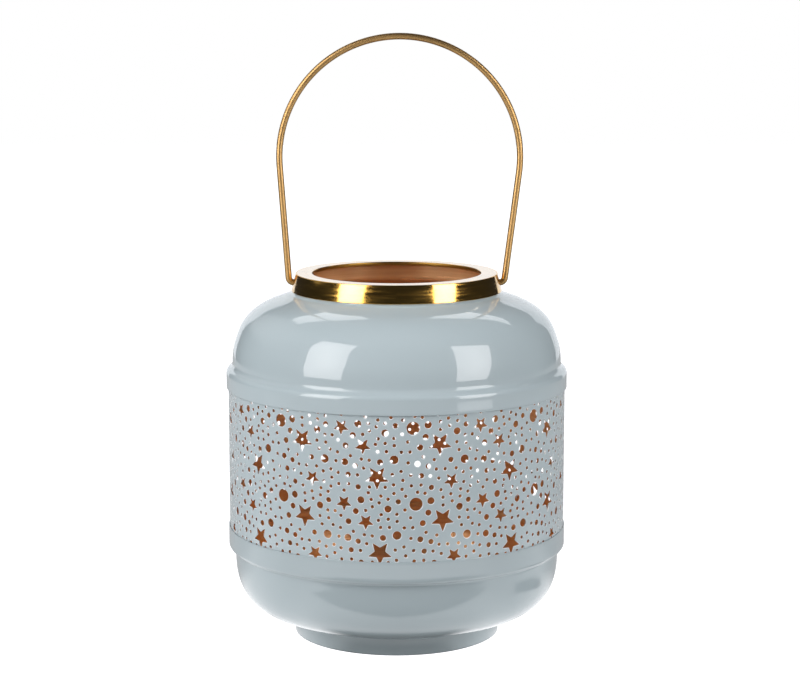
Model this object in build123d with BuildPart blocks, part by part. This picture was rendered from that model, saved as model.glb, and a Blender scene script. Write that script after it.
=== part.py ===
"""Punched tin lantern: two spun shells round a punched band, on a ring foot, with a wire bail.

Millimetres. +Z is up, -Y is the front, and the bail swings about the X axis through the collar.
The origin is on the lantern's axis, in the plane that the foot rests on.
"""

import math
import os

from build123d import *

os.makedirs("parts", exist_ok=True)

# Driving dimensions
body_radius = 100.0  # outside of the dome's skirt
body_height = 214.0  # from the foot to the top of the collar
shell_wall = 0.5  # the spun dome and bowl
cut_overrun = 1.0  # every cut runs on this far past its wall

# Ring foot
foot_spread = 6.5  # from the edge of the bowl's flat floor out to the foot
foot_height = 11.6
foot_wall = 0.8
foot_flange_width = 6.0
foot_bend_radius = 1.2
foot_seat_gap = 0.1

# Bowl
bowl_floor_share = 0.54  # the flat floor's radius, of the body's
bowl_curve_power = 2.65
bowl_curve_spans = 9
bowl_step_top = 54.3
bowl_step_height = 4.6
bowl_step_out = 3.9
bowl_skirt_height = 10.8
bowl_gap = 0.1  # between the band and the skirt round it

# Dome
dome_height = 66.6  # from the edge of its skirt to the top of the collar
dome_skirt_height = 8.2
dome_step_height = 6.4
dome_step_out = 3.6
dome_slope = 20.0  # degrees, from the shoulder up to the neck
dome_gap = 0.6  # between the band and the skirt round it
neck_drop = 1.5  # from the collar's lower edge down to the corner under the neck
neck_fillet_radius = 2.6

# Punched band, a sheet rolled round and lapped at its right side
band_wall = 0.5
band_seat_gap = 0.1
seam_turn = 93.0  # degrees from the front round to the right
seam_lap = 6.0
seam_groove = 0.3
seam_margin = 2.0
edge_margin = 1.6  # no punch comes nearer than this to the band's upper and lower edges

# Collar
collar_wall = 0.8
collar_height = 10.4
collar_share = 0.6165  # the collar's radius at its lower edge, of the body's
collar_taper = 2.55
collar_top_width = 9.7
collar_edge_radius = 0.4
opening_lip_depth = 2.2
neck_gap = 0.15
neck_top_gap = 0.3

# Bail
wire_diameter = 3.8
wire_end_chamfer = 0.5
pivot_drop = 6.0  # from the top of the collar
pivot_clearance = 0.4  # all round the wire
bail_end_depth = 7.65  # from the collar's lower edge in to each end of the wire
bail_side_gap = 1.3  # from the collar's lower edge out to the middle of each leg
bail_bend_radius = 3.0
bail_flare = 6.91  # how much wider the loop is than the legs' feet
bail_rise = 73.0  # from the pivots up to the middle of the loop
bail_sway = 1.8  # the loop is bent a little to the right

# Punches. One repeat of the layout is laid along the band and down it, row by row
repeat_length = 79.6
repeat_start = -66.0  # along the band from its front
back_repeat_stretch = 1.033  # round the back each repeat is this much longer
back_drop = 1.8  # there the layout sits this much lower
back_lean = 0.01  # and drops by this much more for each millimetre to the left
row_height = 42.62
row_shift = 1.6  # each row starts this much further on than the one above
row_rise = 38.5  # from the bowl's skirt up to the first whole row
star_notch_share = 0.44  # a star's inner corners, of its radius
large_star_radius = 6.85
small_star_radius = 4.6
large_disc_radius = 3.7
middle_disc_radius = 2.4
small_disc_radius = 2.0
large_dot_radius = 1.7
small_dot_radius = 1.5

# Places of the punches in one repeat, as shares of its length and of its height
large_star_shares = [(0.134, 0.648), (0.692, 0.215)]
small_star_shares = [(0.437, 0.864), (0.593, 0.625), (0.216, 0.158)]
large_disc_shares = [(0.943, 0.864)]
middle_disc_shares = [(0.314, 0.429), (0.812, 0.452)]
small_disc_shares = [(0.048, 0.904), (0.559, 0.916), (0.256, 0.806), (0.749, 0.802), (0.465, 0.407)]
large_dot_shares = [
    (0.030, 0.747), (0.523, 0.763), (0.470, 0.623), (0.992, 0.611), (0.974, 0.397), (0.714, 0.419),
]
small_dot_shares = [
    (0.323, 0.889), (0.820, 0.899), (0.212, 0.434), (0.050, 0.361), (0.541, 0.363), (0.489, 0.244),
    (0.001, 0.237), (0.071, 0.079), (0.561, 0.085),
]

# Outline of the dome's shoulder from the step up, as shares of the wall's radius and of the rise
shoulder_shares = [
    (0.990, 0.248),
    (0.970, 0.413),
    (0.942, 0.577),
    (0.892, 0.734),
    (0.830, 0.849),
    (0.757, 0.935),
    (0.685, 1.0),
]

# Sizes that follow from these
band_radius = body_radius - shell_wall - dome_gap
bowl_floor_radius = body_radius * bowl_floor_share
bowl_skirt_radius = band_radius + bowl_gap + shell_wall
bowl_wall_radius = bowl_skirt_radius - bowl_step_out
bowl_step_bottom = bowl_step_top - bowl_step_height
bowl_skirt_top = bowl_step_top + bowl_skirt_height
foot_radius = bowl_floor_radius + foot_spread
dome_wall_radius = body_radius - dome_step_out
dome_skirt_bottom = body_height - dome_height
dome_step_bottom = dome_skirt_bottom + dome_skirt_height
dome_step_top = dome_step_bottom + dome_step_height
collar_bottom = body_height - collar_height
collar_bottom_radius = body_radius * collar_share
collar_top_radius = collar_bottom_radius - collar_taper
opening_radius = collar_top_radius - collar_top_width
pivot_height = body_height - pivot_drop
bail_end_reach = collar_bottom_radius - bail_end_depth
bail_corner_reach = collar_bottom_radius + bail_side_gap
bail_loop_radius = bail_corner_reach + bail_flare
bail_loop_height = pivot_height + bail_rise
row_bottom = bowl_skirt_top + row_rise


def step_arc_radius(step_out, step_height):
    """Radius of each of the two arcs of an S between two upright walls."""
    return (step_out**2 + step_height**2) / (4 * abs(step_out))


def moved_in(points, ways, inset):
    """Points moved to the left of the ways that they run, which is the inside of each sheet."""
    return [(x - inset * way[1], z + inset * way[0]) for (x, z), way in zip(points, ways)]


def draw_curve(points, first_way, last_way, inset):
    """A smooth curve that runs beside the points, inset from them."""
    ways = [first_way]
    for before, after in zip(points, points[2:]):
        run = Vector(after) - Vector(before)
        ways.append((run.X / run.length, run.Y / run.length))
    ways.append(last_way)
    Spline(*moved_in(points, ways, inset), tangents=[first_way, last_way])


def draw_step(start, end, inset):
    """An S of two arcs that rises from start to end, inset from them."""
    step_out = end[0] - start[0]
    step_height = end[1] - start[1]
    turn = 2 * math.atan(step_out / step_height)
    middle = (start[0] + step_out / 2, start[1] + step_height / 2)
    upward = (0, 1)
    middle_way = (math.sin(turn), math.cos(turn))
    ways = [upward, middle_way, upward]
    start, middle, end = moved_in([start, middle, end], ways, inset)
    TangentArc(start, middle, tangent=upward)
    TangentArc(end, middle, tangent=(0, -1))


def draw_wall(radius, bottom, top, inset):
    """An upright wall, inset from its outside."""
    Line((radius - inset, bottom), (radius - inset, top))


def band_seat(skirt_radius, step_out, step_height):
    """How far past the start of a step the band's edge goes before it meets the inside of the arc."""
    arc_radius = step_arc_radius(step_out, step_height)
    arc_centre = skirt_radius - arc_radius
    return math.sqrt((arc_radius - shell_wall) ** 2 - (band_radius - arc_centre) ** 2) - band_seat_gap


def collar_lean():
    """How much narrower the collar gets for each unit of height."""
    return collar_taper / collar_height


def collar_radius(height):
    """Outside of the collar's wall."""
    return collar_bottom_radius - collar_lean() * (height - collar_bottom)


def neck_radius(height):
    """Outside of the dome's neck, which leans with the collar round it."""
    return collar_radius(height) - collar_wall - neck_gap


def draw_neck(slope_start, corner, slope_way, top, inset):
    """The end of the dome's slope and the neck that turns up from it, inset from their outside."""
    lean = collar_lean()
    neck_way = (-lean / math.hypot(lean, 1), 1 / math.hypot(lean, 1))
    turn = math.acos(slope_way[0] * neck_way[0] + slope_way[1] * neck_way[1])
    onward = inset * math.tan(turn / 2)
    start, corner = moved_in([slope_start, corner], [slope_way, slope_way], inset)
    corner = (corner[0] + onward * slope_way[0], corner[1] + onward * slope_way[1])
    end = moved_in([(neck_radius(top), top)], [neck_way], inset)[0]
    FilletPolyline(start, corner, end, radius=neck_fillet_radius + inset)


def bowl_curve():
    """Outside of the bowl from its flat floor up to the step, a quarter of a superellipse."""
    points = [(bowl_floor_radius, foot_height)]
    for i in range(1, bowl_curve_spans):
        turn = math.radians(90 * i / bowl_curve_spans)
        out_share = math.sin(turn) ** (2 / bowl_curve_power)
        down_share = math.cos(turn) ** (2 / bowl_curve_power)
        radius = bowl_floor_radius + (bowl_wall_radius - bowl_floor_radius) * out_share
        points.append((radius, bowl_step_bottom - (bowl_step_bottom - foot_height) * down_share))
    return [*points, (bowl_wall_radius, bowl_step_bottom)]


def draw_bowl(inset):
    """The bowl's outline from the axis out and up, inset from its outside."""
    Line((0, foot_height + inset), (bowl_floor_radius, foot_height + inset))
    draw_curve(bowl_curve(), (1, 0), (0, 1), inset)
    draw_step((bowl_wall_radius, bowl_step_bottom), (bowl_skirt_radius, bowl_step_top), inset)
    draw_wall(bowl_skirt_radius, bowl_step_top, bowl_skirt_top, inset)


def draw_dome(inset):
    """The dome's outline from the skirt up to the neck, inset from its outside."""
    slope_angle = math.radians(dome_slope)
    slope_way = (-math.cos(slope_angle), math.sin(slope_angle))
    corner = (neck_radius(collar_bottom - neck_drop), collar_bottom - neck_drop)
    slope_run = dome_wall_radius * shoulder_shares[-1][0] - corner[0]
    rise = corner[1] - slope_run * math.tan(slope_angle) - dome_step_top
    shoulder = [(dome_wall_radius * r, dome_step_top + rise * z) for r, z in shoulder_shares]
    draw_wall(body_radius, dome_skirt_bottom, dome_step_bottom, inset)
    draw_step((body_radius, dome_step_bottom), (dome_wall_radius, dome_step_top), inset)
    draw_curve([(dome_wall_radius, dome_step_top), *shoulder], (0, 1), slope_way, inset)
    draw_neck(shoulder[-1], corner, slope_way, body_height - collar_wall - neck_top_gap, inset)


def spin_sheet(draw_outline):
    """Adds a spun sheet between an outline and the same outline drawn shell_wall further in."""
    with BuildLine() as outside:
        draw_outline(0)
    with BuildLine() as inside:
        draw_outline(shell_wall)
    with BuildLine() as ends:
        for end in (0, 1):
            Line(outside.wire() @ end, inside.wire() @ end)
    with BuildSketch(Plane.XZ) as section:
        make_face([*outside.edges(), *inside.edges(), *ends.edges()])
    revolve(section.sketch, axis=Axis.Z)


def leg_top(corner, side):
    """Where the leg that rises from its corner runs into the bail's round loop."""
    across = bail_sway - corner[0]
    rise = bail_loop_height - corner[1]
    leg = math.sqrt(across**2 + rise**2 - bail_loop_radius**2)
    turn = math.atan2(rise, across) + side * math.atan(bail_loop_radius / leg)
    return (corner[0] + leg * math.cos(turn), corner[1] + leg * math.sin(turn))


def cut_pivot_holes():
    """Cuts one hole on each side of the part being built, along the pivot axis."""
    with BuildSketch(Plane.YZ) as hole:
        with Locations((0, pivot_height)):
            Circle(wire_diameter / 2 + pivot_clearance)
    reach = collar_bottom_radius + cut_overrun
    extrude(hole.sketch, amount=reach, both=True, mode=Mode.SUBTRACT)


def place_along(copy, along_share):
    """How far along the band from its front a place in one copy of the repeat lies."""
    front_copy = max(copy, -1)
    place = repeat_start + repeat_length * (front_copy + along_share)
    if copy < front_copy:
        place = repeat_start - repeat_length
        place += repeat_length * back_repeat_stretch * (copy - front_copy + along_share)
    return place


def punch_planes(place_shares, punch_radius):
    """Planes just outside the band, square to it, for every copy of these places that shows."""
    planes = []
    half_round = math.pi * band_radius
    seam_half = seam_lap / 2 + seam_groove + seam_margin + punch_radius
    seam_along = band_radius * math.radians(seam_turn)
    copies = math.ceil(2 * half_round / repeat_length)
    rows = math.ceil((dome_skirt_bottom - bowl_skirt_top) / row_height)
    for row in range(-1, rows):
        for copy in range(-copies, copies):
            for along_share, up_share in place_shares:
                along = place_along(copy, along_share) + row_shift * row
                height = row_bottom + row_height * (up_share - row)
                if copy < -1:
                    height -= back_drop + back_lean * (along + half_round)
                shows = bowl_skirt_top - punch_radius < height < dome_skirt_bottom + punch_radius
                edge = punch_radius + edge_margin
                fits = edge < height - band_bottom < band_height - edge
                if shows and fits and seam_half < seam_along - along < 2 * half_round - seam_half:
                    turn = along / band_radius
                    out = Vector(math.sin(turn), -math.cos(turn), 0)
                    place = out * (band_radius + cut_overrun) + Vector(0, 0, height)
                    planes.append(Plane(origin=place, x_dir=(-out.Y, out.X, 0), z_dir=out))
    return planes


def star(radius):
    """A five-pointed star that stands on one point."""
    corners = []
    for i in range(10):
        turn = math.radians(36 * i - 90)
        reach = radius if i % 2 == 0 else radius * star_notch_share
        corners.append((reach * math.cos(turn), reach * math.sin(turn)))
    with BuildLine() as outline:
        Polyline(*corners, close=True)
    make_face(outline.edges())


def punch(shape, radius, place_shares):
    """Cuts every copy of one kind of punch through the band."""
    with BuildSketch(*punch_planes(place_shares, radius)) as punches:
        shape(radius)
    extrude(punches.sketch, amount=-(band_wall + 2 * cut_overrun), mode=Mode.SUBTRACT)


# Ring foot: a short upright wall with its top turned in under the bowl
with BuildPart() as foot_ring:
    with BuildSketch(Plane.XZ):
        with BuildLine():
            foot_top = foot_height - foot_seat_gap
            FilletPolyline(
                (foot_radius, 0),
                (foot_radius, foot_top),
                (foot_radius - foot_flange_width, foot_top),
                radius=foot_bend_radius,
            )
            offset(amount=foot_wall, side=Side.LEFT)
        make_face()
    revolve(axis=Axis.Z)
foot_ring.part.label = "foot_ring"

# Bowl: flat floor, round wall, step and skirt
with BuildPart() as base_bowl:
    spin_sheet(draw_bowl)
base_bowl.part.label = "base_bowl"

# Dome: skirt, step, shoulder and a neck turned up inside the collar
with BuildPart() as dome_shell:
    spin_sheet(draw_dome)
    cut_pivot_holes()
dome_shell.part.label = "dome_shell"

# Punched band: a rolled sheet with a lapped seam, then its stars, discs and larger dots
with BuildPart() as punched_band:
    bowl_seat = band_seat(bowl_skirt_radius, bowl_skirt_radius - bowl_wall_radius, bowl_step_height)
    dome_seat = band_seat(body_radius, body_radius - dome_wall_radius, dome_step_height)
    band_bottom = bowl_step_top - bowl_seat
    band_height = dome_step_bottom + dome_seat - band_bottom
    seam_plane = Plane.XY.offset(band_bottom).rotated((0, 0, seam_turn - 180))
    with BuildSketch(seam_plane):
        Circle(band_radius)
        Circle(band_radius - band_wall, mode=Mode.SUBTRACT)
        with Locations((seam_lap / 2 + seam_groove / 2, band_radius)):
            Rectangle(seam_groove, 2 * band_wall + cut_overrun, mode=Mode.SUBTRACT)
    extrude(amount=band_height)
    with BuildSketch(seam_plane):
        Circle(band_radius - band_wall)
        Circle(band_radius - 2 * band_wall, mode=Mode.SUBTRACT)
        with Locations((seam_groove, band_radius)):
            Rectangle(seam_lap + 2 * seam_groove + 2 * band_wall, seam_lap, mode=Mode.INTERSECT)
    extrude(amount=band_height)
    punch(star, large_star_radius, large_star_shares)
    punch(star, small_star_radius, small_star_shares)
    punch(Circle, large_disc_radius, large_disc_shares)
    punch(Circle, middle_disc_radius, middle_disc_shares)
    punch(Circle, small_disc_radius, small_disc_shares)
    punch(Circle, large_dot_radius, large_dot_shares)
    punch(Circle, small_dot_radius, small_dot_shares)
punched_band.part.label = "punched_band"

# Collar: a leaning wall, a flat top and a lip turned down round the opening
with BuildPart() as rim_collar:
    with BuildSketch(Plane.XZ):
        with BuildLine():
            flange_underside = body_height - collar_wall
            Polyline(
                (collar_bottom_radius, collar_bottom),
                (collar_top_radius, body_height),
                (opening_radius, body_height),
                (opening_radius, body_height - opening_lip_depth),
                (opening_radius + collar_wall, body_height - opening_lip_depth),
                (opening_radius + collar_wall, flange_underside),
                (collar_radius(flange_underside) - collar_wall, flange_underside),
                (collar_bottom_radius - collar_wall, collar_bottom),
                close=True,
            )
        make_face()
        fillet(vertices().group_by(Axis.Y)[-1], radius=collar_edge_radius)
    revolve(axis=Axis.Z)
    cut_pivot_holes()
rim_collar.part.label = "rim_collar"

# Bail: one round wire, bent in at both feet so that its ends are the pivots
with BuildPart() as bail_handle:
    with BuildLine(Plane.XZ) as bail_path:
        left_end = (-bail_end_reach, pivot_height)
        left_corner = (-bail_corner_reach, pivot_height)
        right_corner = (bail_corner_reach, pivot_height)
        right_end = (bail_end_reach, pivot_height)
        left_leg_top = leg_top(left_corner, 1)
        right_leg_top = leg_top(right_corner, -1)
        loop_top = (bail_sway, bail_loop_height + bail_loop_radius)
        FilletPolyline(left_end, left_corner, left_leg_top, radius=bail_bend_radius)
        ThreePointArc(left_leg_top, loop_top, right_leg_top)
        FilletPolyline(right_leg_top, right_corner, right_end, radius=bail_bend_radius)
    with BuildSketch(Plane(origin=bail_path.line @ 0, z_dir=bail_path.line % 0)):
        Circle(wire_diameter / 2)
    sweep()
    chamfer(faces().filter_by(GeomType.PLANE).edges(), length=wire_end_chamfer)
bail_handle.part.label = "bail_handle"

pieces = [foot_ring, base_bowl, dome_shell, punched_band, rim_collar, bail_handle]
for piece in pieces:
    export_step(piece.part, f"parts/{piece.part.label}.step")
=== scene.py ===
"""Looks of the punched tin lantern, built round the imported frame.

Sizes in this script are in millimetres and turned into metres where meshes are made.
+Z is up, -Y is the front, and the bail swings about the X axis.
"""

import math

import bpy
import numpy as np
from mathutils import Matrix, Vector, geometry


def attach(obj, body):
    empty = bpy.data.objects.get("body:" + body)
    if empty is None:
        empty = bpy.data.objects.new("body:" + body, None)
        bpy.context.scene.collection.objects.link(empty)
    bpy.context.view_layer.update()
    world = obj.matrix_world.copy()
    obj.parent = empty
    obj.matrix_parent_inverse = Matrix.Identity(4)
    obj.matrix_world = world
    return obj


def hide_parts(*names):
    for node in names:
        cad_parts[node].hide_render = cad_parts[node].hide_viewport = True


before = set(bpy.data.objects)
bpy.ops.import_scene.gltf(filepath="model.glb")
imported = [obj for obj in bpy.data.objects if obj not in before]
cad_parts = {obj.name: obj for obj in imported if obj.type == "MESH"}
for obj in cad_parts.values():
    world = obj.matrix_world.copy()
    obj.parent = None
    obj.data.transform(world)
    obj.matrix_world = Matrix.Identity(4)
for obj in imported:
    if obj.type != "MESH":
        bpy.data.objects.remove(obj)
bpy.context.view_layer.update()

MM = 0.001

# Body, as in the CAD source
body_radius = 100.0
body_height = 214.0
shell_wall = 0.5
spin_steps = 360
sharp_angle = 38.0

# Ring foot
foot_radius = 60.5
foot_height = 11.6
foot_wall = 0.8
foot_flange_width = 6.0
foot_fillet_radius = 1.7
foot_edge_radius = 0.35
foot_seat_gap = 0.1
foot_wall_start = 1.0
foot_fillet_rise = 0.15
foot_top_inset = 1.0
foot_bend = 0.8

# Bowl
bowl_floor_start = 4.0
bowl_floor_radius = 54.0
bowl_wall_radius = 95.6
bowl_curve_power = 2.65
bowl_spacing_power = 1.15
bowl_step_bottom = 49.7
bowl_step_top = 54.3
bowl_skirt_radius = 99.5
bowl_skirt_top = 65.1

# Dome
dome_skirt_bottom = 147.4
dome_step_bottom = 155.6
dome_step_top = 162.0
dome_wall_radius = 96.4
dome_slope = 20.0
neck_corner = (61.07, 202.1)
neck_top = 212.9
neck_fillet_radius = 2.6
shoulder_shares = [
    (0.990, 0.248),
    (0.970, 0.413),
    (0.942, 0.577),
    (0.892, 0.734),
    (0.830, 0.849),
    (0.757, 0.935),
    (0.685, 1.0),
]

# Collar
collar_wall = 0.8
collar_bottom = 203.6
collar_bottom_radius = 61.65
collar_top_radius = 59.1
collar_edge_radius = 0.45
opening_radius = 49.4
opening_lip_depth = 2.2
collar_cut_radius = 0.2
collar_flat_inset = 1.0

# Bail
wire_diameter = 3.8
wire_end_chamfer = 0.5
pivot_height = 208.0
pivot_clearance = 0.4
pivot_cut_inward = 6.0
pivot_cut_outward = 4.0
bail_end_reach = 54.0
bail_corner_reach = 62.95
bail_bend_radius = 3.0
bail_bend_share = 1.2
bail_loop_radius = 69.86
bail_loop_height = 281.0
bail_sway = 1.8

# Punched band
band_radius = 98.9
band_wall = 0.5
band_bottom = 53.8
band_top = 157.4
seam_turn = 93.0
seam_lap = 6.0
seam_groove = 0.3
seam_margin = 2.0
edge_margin = 1.6
roll_width = 0.36
roll_depth = 0.16
roll_middle_share = 0.3
roll_middle_tilt = 0.5
band_grid = 3.6
grid_margin_share = 0.22
border_run_along = 2.4
border_run_up = 3.0

# Layout of the punches: one repeat, laid along the band and down it, row by row
repeat_length = 79.6
repeat_start = -66.0
row_height = 42.62
row_shift = 1.6
row_rise = 38.5
back_repeat_stretch = 1.033
back_drop = 1.8
back_lean = 0.01
star_points = 5
star_notch_share = 0.44
star_tip_radius = 0.2
star_notch_radius = 0.5

# How many points a disc's edge has, by the radius that it stays under
disc_steps = {1.2: 12, 2.2: 16, math.inf: 28}

# Places of the punches in one repeat: along it and up it from its lower left corner
stars = {
    6.95: [(10.6, 27.6), (55.1, 9.2)],
    4.7: [(34.8, 36.8), (47.2, 26.6), (17.2, 6.7)],
}
discs = {
    3.68: [(75.1, 36.8)],
    2.4: [(25.0, 18.3), (64.6, 19.3)],
    2.0: [(3.8, 38.5), (44.5, 39.0), (20.4, 34.3), (59.6, 34.2), (37.0, 17.3)],
    1.7: [(2.4, 31.8), (41.6, 32.5), (37.4, 26.5), (78.9, 26.0), (77.5, 16.9), (56.8, 17.8)],
    1.5: [
        (25.7, 37.8), (65.3, 38.3), (16.8, 18.5), (3.9, 15.4), (42.9, 15.5),
        (38.9, 10.4), (0.1, 10.1), (5.7, 3.4), (44.6, 3.6),
    ],
    0.98: [
        (10.7, 40.1), (15.3, 41.8), (20.7, 40.1), (16.1, 37.7), (25.4, 42.5), (50.3, 39.4),
        (55.7, 41.4), (59.6, 39.7), (54.7, 37.6), (69.4, 41.4), (10.8, 35.7), (50.9, 35.3),
        (69.0, 33.6), (25.2, 31.9), (29.6, 31.9), (47.2, 33.1), (64.5, 31.2), (55.8, 30.9),
        (20.3, 28.2), (25.7, 27.5), (33.0, 29.5), (54.3, 27.7), (59.7, 28.4), (64.7, 27.2),
        (72.1, 29.2), (21.6, 23.7), (28.3, 23.9), (32.7, 22.6), (55.5, 23.7), (60.4, 23.8),
        (68.6, 23.5), (73.3, 23.6), (40.2, 20.9), (1.1, 20.7), (7.2, 18.9), (31.8, 17.6),
        (46.4, 19.3), (50.8, 18.8), (72.3, 17.5), (47.7, 14.3), (8.5, 13.6), (13.5, 13.5),
        (19.9, 13.6), (28.8, 12.7), (68.4, 12.7), (24.1, 11.2), (33.0, 11.1), (44.2, 10.3),
        (63.6, 11.0), (73.8, 10.6), (5.1, 9.9), (9.8, 8.3), (29.3, 8.0), (69.4, 7.7),
        (24.5, 5.5), (33.4, 4.8), (39.1, 5.1), (64.3, 5.2), (74.1, 4.6), (79.5, 4.9),
        (50.9, 3.8), (59.7, 3.8), (28.7, 3.0), (68.9, 2.7), (11.1, 1.8), (22.6, 1.5),
        (36.5, 1.3), (2.1, 0.2), (50.3, 0.5), (64.5, 0.3), (77.6, 0.9),
    ],
}

# Colours of the paints and metals, and a lighter blue that paints highlights on the punched holes' edges
grey_blue = (0.37, 0.44, 0.465)
painted_highlight_blue = (0.60, 0.66, 0.68)
copper = (0.98, 0.58, 0.28)
gold = (0.86, 0.5, 0.11)
wire_gold = (0.48, 0.3, 0.12)

# Camera, from the photograph's ellipses and silhouettes
sensor_width = 36.0
focal_length = 102.19
camera_place = (0.0, -1318.6, 383.0)
camera_pitch = 9.1413
camera_yaw = -0.086

# Studio: colours and how bright each light is
paper = (0.98, 0.985, 1.0)
blue_paper = (0.93, 0.96, 1.0)
box_white = (1.0, 0.97, 0.97)
room_dim = (0.028, 0.03, 0.034)
floor_light = 1.3
front_box_light = 6.2
left_box_hot = 1.25
right_box_hot = 1.2
under_box_light = 0.55
left_wall_light = 0.3
left_wall_hot = 2.0
back_paper_light = 1.05
back_box_light = 2.4
ceiling_light = 1.7

# Soft boxes in front: azimuth, elevation and distance of their corners from a place at each side
front_base = (42, -87, 180)
left_box = [(-66.6, -2.4, 1170), (-75, 49.5, 1170), (-37.5, -2.4, 1170), (-34.5, 49.5, 1170)]
right_box = [(40.5, -5, 1300), (46.5, 45, 1300), (64.5, -5, 1400), (78, 33, 1500)]
under_box = [(40.5, -12.2, 1300), (40.5, -6.5, 1300), (64.5, -12.2, 1300), (64.5, -6.5, 1300)]

# Cards at the left and behind: azimuth, lowest and highest elevation of their columns from a base
wall_base = (0, 0, 170)
wall_distance = 1300
left_wall = [(-152, 15, 30), (-140, 13, 44), (-120, 13, 50), (-100, 13, 50), (-82, 20, 50)]
back_paper = [(144, -9, 20), (165, -9, 22), (180, -9, 22), (195, -9, 21), (211, -9, 18)]
back_box_base = (0, -30, 195)
back_box_distance = 1400
back_left_box = [(-124.5, 42, 42.6), (-140, 40, 47.5), (-153, 38.5, 52.5), (-170, 37.5, 54)]
back_right_box = [(132, 37.5, 38.4), (150, 37.5, 45), (160, 37.5, 49), (169, 37.5, 52.5)]
ceiling = [(-600, -700, 1500), (-600, 500, 1500), (600, -700, 1500), (600, 500, 1500)]

# Table: the rings of its cards, how bright it is, and how much darker or brighter parts of it are
floor_reach = 4000
table_reaches = [
    0, 30, 50, 60, *range(66, 170, 4), 180, 200, 225, 250, 270, 285, 305, 335,
    380, 430, 600, 840, 865, 905, 930, 1300,
]
table_turns = 240
table_card_height = 0.4
table_bright = 1.05
table_far_drop = 0.25
table_right_shade = 0.15
table_back_shade = 0.5
table_back_lift = 0.15
table_foot_shade = 0.5
table_near_shade = 0.75
front_patch_shade = 0.8
side_patch_shade = 0.7
mirror_bright = 2.0
mirror_turn_drop = 0.75
mirror_back_shade = 0.6
mirror_near_shade = 0.1
mirror_foot_dim = 0.1
mirror_foot_bright = 1.5
mirror_streak = 2.8


def arc_points(centre, radius, start, end, steps):
    """Points on an arc in the section plane. Angles are in degrees from the outward axis."""
    turns = [math.radians(start + (end - start) * i / steps) for i in range(steps + 1)]
    return [(centre[0] + radius * math.cos(t), centre[1] + radius * math.sin(t)) for t in turns]


def line_points(start, end, steps):
    """Points on a straight run, without its last one."""
    return [
        (start[0] + (end[0] - start[0]) * i / steps, start[1] + (end[1] - start[1]) * i / steps)
        for i in range(steps)
    ]


def step_points(start, end, steps):
    """An S of two arcs between two upright walls, from start up to end."""
    step_out = end[0] - start[0]
    height = end[1] - start[1]
    radius = (step_out**2 + height**2) / (4 * abs(step_out))
    turn = math.degrees(2 * math.atan(abs(step_out) / height))
    side = math.copysign(1, step_out)
    lower = arc_points((0, start[1]), radius, 0, turn, steps)
    upper = arc_points((0, -end[1]), radius, turn, 0, steps)
    low = [(start[0] + side * (radius - x), z) for x, z in lower]
    high = [(end[0] - side * (radius - x), -z) for x, z in upper]
    return low[:-1] + high


def smooth_points(points, first_way, last_way, steps):
    """A smooth curve through the points with these end directions, its curvature unbroken."""
    places = np.array(points, float)
    lengths = np.linalg.norm(np.diff(places, axis=0), axis=1)
    count = len(places)
    system = np.zeros((count, count))
    known = np.zeros((count, 2))
    system[0, 0] = system[-1, -1] = 1
    known[0] = first_way
    known[-1] = last_way
    for i in range(1, count - 1):
        before, after = lengths[i - 1], lengths[i]
        system[i, i - 1 : i + 2] = (1 / before, 2 / before + 2 / after, 1 / after)
        run_before = (places[i] - places[i - 1]) / before**2
        run_after = (places[i + 1] - places[i]) / after**2
        known[i] = 3 * (run_before + run_after)
    ways = np.linalg.solve(system, known)
    curve = []
    for i in range(count - 1):
        for k in range(steps):
            t = k / steps
            place = (2 * t**3 - 3 * t**2 + 1) * places[i] + (3 * t**2 - 2 * t**3) * places[i + 1]
            way = (t**3 - 2 * t**2 + t) * ways[i] + (t**3 - t**2) * ways[i + 1]
            curve.append(tuple(place + way * lengths[i]))
    curve.append(tuple(places[-1]))
    return curve


def rounded_corner(before, corner, after, radius, steps):
    """Points on the arc that rounds a corner."""
    start, middle, end = Vector(before), Vector(corner), Vector(after)
    way_in = (start - middle).normalized()
    way_out = (end - middle).normalized()
    half = math.acos(max(-1, min(1, way_in.dot(way_out)))) / 2
    centre = middle + (way_in + way_out).normalized() * radius / math.sin(half)
    first = middle + way_in * radius / math.tan(half) - centre
    last = middle + way_out * radius / math.tan(half) - centre
    sweep = math.pi - 2 * half
    points = []
    for i in range(steps + 1):
        t = i / steps
        ray = first * math.sin((1 - t) * sweep) + last * math.sin(t * sweep)
        points.append(tuple(centre + ray / math.sin(sweep)))
    return points


def run_ways(places):
    """The direction of a path at each of its places."""
    ways = np.gradient(places, axis=0)
    return ways / np.linalg.norm(ways, axis=1)[:, None]


def inside_of(points, wall):
    """The inside of a sheet whose outside is these points, run so that the inside is to the left."""
    places = np.array(points, float)
    ways = run_ways(places)
    return [tuple(p) for p in places + wall * np.stack([-ways[:, 1], ways[:, 0]], 1)]


def sheet_outline(outside, wall, first_edge=True):
    """The closed outline of a sheet with round edges, and the material slot of each of its runs."""
    inside = inside_of(outside, wall)
    outline = outside + round_edge(outside[-1], inside[-1], outside[-2], wall)
    paints = [0] * len(outline) + [1] * (len(inside) - 1)
    outline += inside[::-1]
    if first_edge:
        edge = round_edge(inside[0], outside[0], outside[1], wall)
        outline += edge
        paints += [0] * (len(edge) + 1)
    return outline, paints


def round_edge(start, end, before, wall):
    """Points on a half-round sheet edge from one side to the other."""
    middle = (Vector(start) + Vector(end)) / 2
    across = Vector(start) - middle
    onward = middle - Vector(before)
    onward -= across * onward.dot(across) / across.dot(across)
    onward = onward.normalized() * wall / 2
    turns = [math.pi * i / 6 for i in range(1, 6)]
    return [tuple(middle + across * math.cos(turn) + onward * math.sin(turn)) for turn in turns]


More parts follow.
